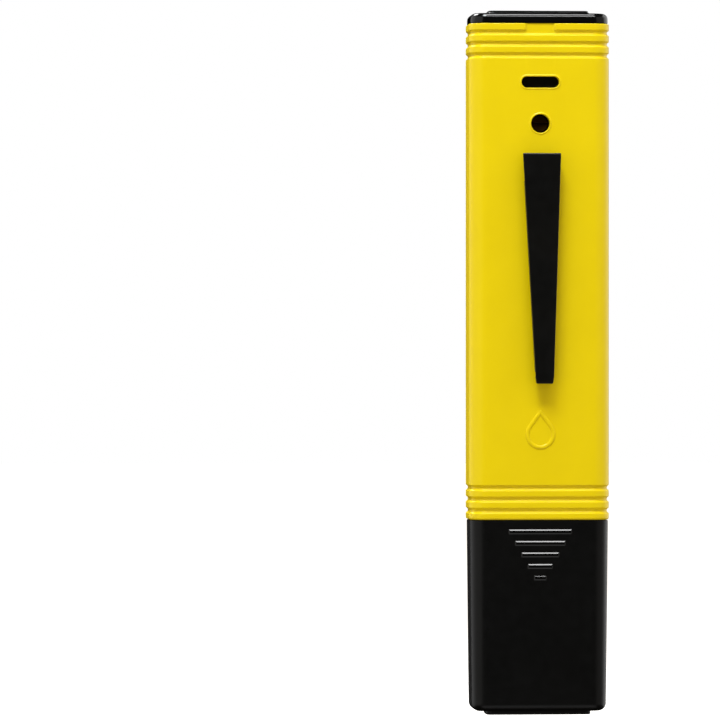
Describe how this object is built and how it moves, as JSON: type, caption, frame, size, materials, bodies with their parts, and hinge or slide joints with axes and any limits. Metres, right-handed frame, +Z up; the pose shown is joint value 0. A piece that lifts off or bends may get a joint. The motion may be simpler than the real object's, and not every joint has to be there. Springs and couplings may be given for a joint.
{
  "type": "digital ph meter",
  "caption": "Pen-shaped digital pH meter with a rectangular sleeve body, display, glass probe under a pull-off cap, slide-out battery drawer and a spring clip.",
  "frame": {"origin": "centre of the underside of the foot pad on the protective cap", "axes": "+Z up along the meter towards the battery drawer, -Y out of the display, +Y out of the clip side"},
  "size_m": [0.031, 0.0185, 0.155],
  "materials": {
    "yellow_shell": "satin moulded",
    "black_plastic": "fine satin moulded",
    "clip_plastic": "smooth moulded",
    "label_overlay": "printed film",
    "clear_window": "clear acrylic",
    "display_film": "polariser film",
    "lcd_glass": "glass sandwich",
    "white_plastic": "moulded",
    "connector_rubber": "elastomer",
    "board_laminate": "green solder mask",
    "black_resin": "potting resin",
    "chip_body": "moulded chip",
    "resistor_ceramic": "chip resistor",
    "capacitor_ceramic": "chip capacitor",
    "aluminium_can": "drawn can",
    "contact_bronze": "sprung strip",
    "button_rubber": "soft touch",
    "switch_plastic": "moulded",
    "trimmer_plastic": "moulded",
    "trimmer_brass": "turned",
    "cell_steel": "nickel plated",
    "electrode_glass": "clear glass",
    "silver_wire": "silver with a chloride coat",
    "junction_ceramic": "porous",
    "potting_resin": "cast resin",
    "seal_rubber": "moulded",
    "red_insulation": "wire insulation",
    "white_insulation": "wire insulation",
    "sponge_foam": "open-cell foam"
  },
  "bodies": {
    "root": {"body_shell": "yellow_shell", "front_label": "label_overlay", "display_window": "clear_window", "display_film": "display_film", "lcd_panel": "lcd_glass", "lcd_frame": "white_plastic", "upper_connector_strip": "connector_rubber", "lower_connector_strip": "connector_rubber", "circuit_board": "board_laminate", "switch_body": "switch_plastic", "trimmer_body": "trimmer_plastic", "display_driver": "black_resin", "amplifier_chip": "chip_body", "smd_resistors": "resistor_ceramic", "smd_capacitors": "capacitor_ceramic", "filter_capacitor": "aluminium_can", "positive_contact": "contact_bronze", "negative_contact": "contact_bronze", "clip_base": "clip_plastic", "probe_housing": "black_plastic", "electrode_gasket": "seal_rubber", "cap_seal": "seal_rubber", "glass_electrode": "electrode_glass", "inner_electrode_wire": "silver_wire", "reference_junction": "junction_ceramic", "reference_wire": "silver_wire", "electrode_potting": "potting_resin", "signal_lead": "red_insulation", "reference_lead": "white_insulation"},
    "battery_drawer": {"battery_cap": "black_plastic", "battery_tray": "black_plastic", "button_cell_1": "cell_steel", "button_cell_2": "cell_steel", "button_cell_3": "cell_steel", "button_cell_4": "cell_steel"},
    "cap": {"protective_cap": "black_plastic", "storage_sponge": "sponge_foam"},
    "button": {"power_button": "button_rubber", "switch_plunger": "switch_plastic"},
    "rotor": {"trimmer_rotor": "trimmer_brass"},
    "clip": {"clip_arm": "clip_plastic"}
  },
  "joints": [
    {"name": "cap_pull", "type": "slide", "parent": "root", "child": "cap", "axis": [0, 0, -1], "range_m": [0, 0.05]},
    {"name": "drawer_pull", "type": "slide", "parent": "root", "child": "battery_drawer", "axis": [0, 0, 1], "range_m": [0, 0.03]},
    {"name": "button_press", "type": "slide", "parent": "root", "child": "button", "axis": [0, 1, 0], "range_m": [0, 0.0003], "stiffness_N_per_m": 1500},
    {"name": "trimmer_turn", "type": "hinge", "parent": "root", "child": "rotor", "pos_m": [0, 0.0045, 0.13], "axis": [0, 1, 0], "range_deg": [-130, 130]},
    {"name": "clip_flex", "type": "hinge", "parent": "root", "child": "clip", "pos_m": [0, 0.0109, 0.1163], "axis": [1, 0, 0], "range_deg": [0, 3], "stiffness_Nm_per_rad": 2, "springref_deg": -3.44}
  ]
}
